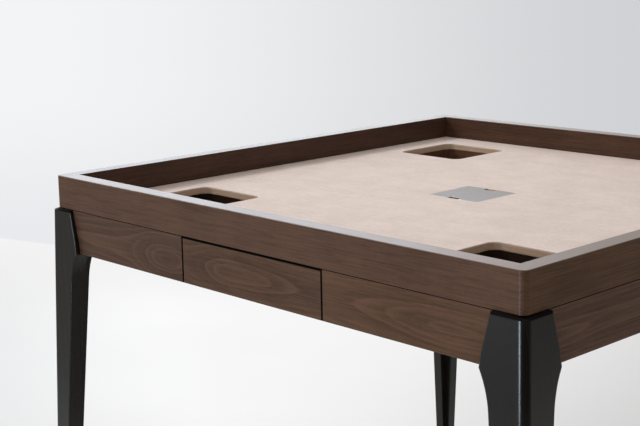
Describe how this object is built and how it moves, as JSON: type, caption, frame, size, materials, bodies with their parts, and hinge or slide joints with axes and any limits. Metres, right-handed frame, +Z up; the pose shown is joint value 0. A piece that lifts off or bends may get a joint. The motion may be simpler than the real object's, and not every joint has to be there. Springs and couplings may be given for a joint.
{
  "type": "mahjong table",
  "caption": "Square mahjong table with a walnut rim round a sunk leather board, corner wells, a centre plate, flush drawers and black L-shaped legs.",
  "frame": {"origin": "on the floor under the table's centre", "axes": "+Z up, the front is the side that faces -Y"},
  "size_m": [1.0124, 1.0124, 0.76],
  "materials": {
    "walnut": "satin lacquer, straight grain along each board",
    "walnut_veneer": "satin lacquer, figured veneer",
    "dark_walnut": "satin lacquer",
    "brown_wood": "brown stain",
    "black_wood": "satin black lacquer with faint grain",
    "lipping_wood": "satin lacquer, straight grain along each edge",
    "frame_wood": "planed, unfinished",
    "drawer_wood": "clear lacquer",
    "beech": "planed, unfinished",
    "plywood": "sanded, unfinished",
    "leather": "fine grain, matt",
    "steel_plate": "brushed along one direction",
    "zinc_steel": "bright zinc plated",
    "black_nylon": "moulded"
  },
  "bodies": {
    "table": {"rim_front": "walnut", "rim_right": "walnut", "rim_back": "walnut", "rim_left": "walnut", "apron_front_left": "walnut_veneer", "apron_front_right": "walnut_veneer", "apron_right_left": "walnut_veneer", "apron_right_right": "walnut_veneer", "apron_back_left": "walnut_veneer", "apron_back_right": "walnut_veneer", "apron_left_left": "walnut_veneer", "apron_left_right": "walnut_veneer", "batten_front": "frame_wood", "batten_right": "frame_wood", "batten_back": "frame_wood", "batten_left": "frame_wood", "grid_board_right": "frame_wood", "grid_board_left": "frame_wood", "grid_board_back": "frame_wood", "grid_board_front": "frame_wood", "leg_front_right": "black_wood", "leg_back_right": "black_wood", "leg_back_left": "black_wood", "leg_front_left": "black_wood", "well_tray_front_right": "dark_walnut", "well_tray_back_right": "dark_walnut", "well_tray_back_left": "dark_walnut", "well_tray_front_left": "dark_walnut", "well_tray_floors": "dark_walnut", "corner_posts": "brown_wood", "mitre_splines": "beech", "apron_dowels": "beech", "leg_bolts": "zinc_steel", "leg_glides": "black_nylon", "playing_board": "plywood", "well_lippings": "lipping_wood", "leather_top": "leather", "centre_box": "dark_walnut", "centre_box_floor": "dark_walnut", "drawer_runners": "beech", "batten_screws": "zinc_steel", "tray_screws": "zinc_steel", "runner_screws": "zinc_steel"},
    "front_drawer": {"drawer_front_front": "walnut_veneer", "drawer_sides_front": "drawer_wood", "drawer_back_front": "drawer_wood", "drawer_bottom_front": "plywood"},
    "right_drawer": {"drawer_front_right": "walnut_veneer", "drawer_sides_right": "drawer_wood", "drawer_back_right": "drawer_wood", "drawer_bottom_right": "plywood"},
    "back_drawer": {"drawer_front_back": "walnut_veneer", "drawer_sides_back": "drawer_wood", "drawer_back_back": "drawer_wood", "drawer_bottom_back": "plywood"},
    "left_drawer": {"drawer_front_left": "walnut_veneer", "drawer_sides_left": "drawer_wood", "drawer_back_left": "drawer_wood", "drawer_bottom_left": "plywood"},
    "centre_lid": {"centre_plate": "steel_plate"}
  },
  "joints": [
    {"name": "front_drawer_slide", "type": "slide", "parent": "table", "child": "front_drawer", "axis": [0, -1, 0], "range_m": [0, 0.228]},
    {"name": "right_drawer_slide", "type": "slide", "parent": "table", "child": "right_drawer", "axis": [1, 0, 0], "range_m": [0, 0.228]},
    {"name": "back_drawer_slide", "type": "slide", "parent": "table", "child": "back_drawer", "axis": [0, 1, 0], "range_m": [0, 0.228]},
    {"name": "left_drawer_slide", "type": "slide", "parent": "table", "child": "left_drawer", "axis": [-1, 0, 0], "range_m": [0, 0.228]},
    {"name": "centre_lid_lift", "type": "slide", "parent": "table", "child": "centre_lid", "axis": [0, 0, 1], "range_m": [0, 0.06]}
  ]
}
